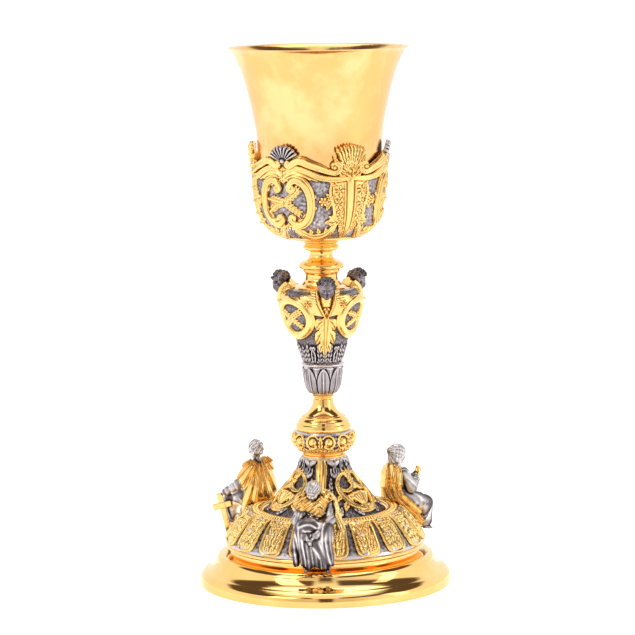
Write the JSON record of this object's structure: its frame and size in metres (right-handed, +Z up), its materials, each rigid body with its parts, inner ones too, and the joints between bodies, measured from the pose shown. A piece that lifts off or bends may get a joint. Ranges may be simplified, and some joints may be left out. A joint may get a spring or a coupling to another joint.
{
  "type": "communion chalice",
  "caption": "Baroque silver-gilt communion chalice: flared cup in a relief calyx, vase knop with cherub heads, and a domed foot with seated figures.",
  "frame": {"origin": "centre of the foot's resting plane", "axes": "+Z up the chalice's axis; the front, with the kneeling figure, faces -Y"},
  "size_m": [0.1272, 0.1272, 0.27],
  "materials": {
    "gilt_cup": "satin gilding, lightly handled",
    "gilt_turned": "mirror-polished gilding",
    "gilt_cast": "chased and burnished gilding, darker in the recesses",
    "silver_cast": "cast silver, oxidised in the recesses and rubbed bright on top",
    "fixings": "plain turned steel",
    "leather": "thin vegetable-tanned washer"
  },
  "bodies": {
    "stem": {"base_flange": "gilt_turned", "base_nut": "fixings", "base_plate": "gilt_turned", "base_washer": "fixings", "calyx_cartouche_1": "gilt_cast", "calyx_cartouche_2": "gilt_cast", "calyx_cartouche_3": "gilt_cast", "calyx_pilaster_1": "gilt_cast", "calyx_pilaster_2": "gilt_cast", "calyx_pilaster_3": "gilt_cast", "calyx_shell": "silver_cast", "cherub_head_1": "silver_cast", "cherub_head_2": "silver_cast", "cherub_head_3": "silver_cast", "crest_ring": "gilt_cast", "dome_rim_ring": "gilt_turned", "figure_kneeling": "silver_cast", "figure_screws": "fixings", "figure_with_cross": "silver_cast", "figure_with_vessel": "silver_cast", "flute_mounts": "gilt_cast", "foot_cartouche_1": "gilt_cast", "foot_cartouche_2": "gilt_cast", "foot_cartouche_3": "gilt_cast", "foot_collar": "gilt_turned", "foot_dome": "silver_cast", "foot_pilasters": "gilt_cast", "garlands": "gilt_cast", "knop_body": "silver_cast", "knop_cap": "gilt_turned", "knop_cartouche_1": "gilt_cast", "knop_cartouche_2": "gilt_cast", "knop_cartouche_3": "gilt_cast", "knop_leaves": "gilt_cast", "knop_ring": "silver_cast", "knop_wings_1": "gilt_cast", "knop_wings_2": "gilt_cast", "knop_wings_3": "gilt_cast", "leaf_cup": "silver_cast", "lower_stem": "gilt_turned", "mantle_kneeling": "gilt_cast", "mantle_with_cross": "gilt_cast", "mantle_with_vessel": "gilt_cast", "palmette_1": "gilt_cast", "palmette_2": "gilt_cast", "palmette_3": "gilt_cast", "rim_shells": "silver_cast", "small_vessel": "gilt_cast", "standing_cross": "gilt_cast", "stem_coupler": "fixings", "stem_torus": "silver_cast", "tie_rod": "fixings", "torus_mounts": "gilt_cast", "upper_collar": "gilt_turned", "upper_spool": "gilt_turned"},
    "cup_seal": {"cup_washer": "leather"},
    "cup": {"cup": "gilt_cup", "cup_boss": "gilt_turned"}
  },
  "joints": [
    {"name": "cup_rise", "type": "slide", "parent": "stem", "child": "cup_seal", "axis": [0, 0, 1], "range_m": [0, 0.0072]},
    {"name": "cup_unscrew", "type": "hinge", "parent": "cup_seal", "child": "cup", "pos_m": [0, 0, 0.1768], "axis": [0, 0, 1], "range_deg": [0, 2520]}
  ],
  "couplings": [
    {"joint": "cup_rise", "follows": "cup_unscrew", "m_per_rad": 0.00015915}
  ]
}
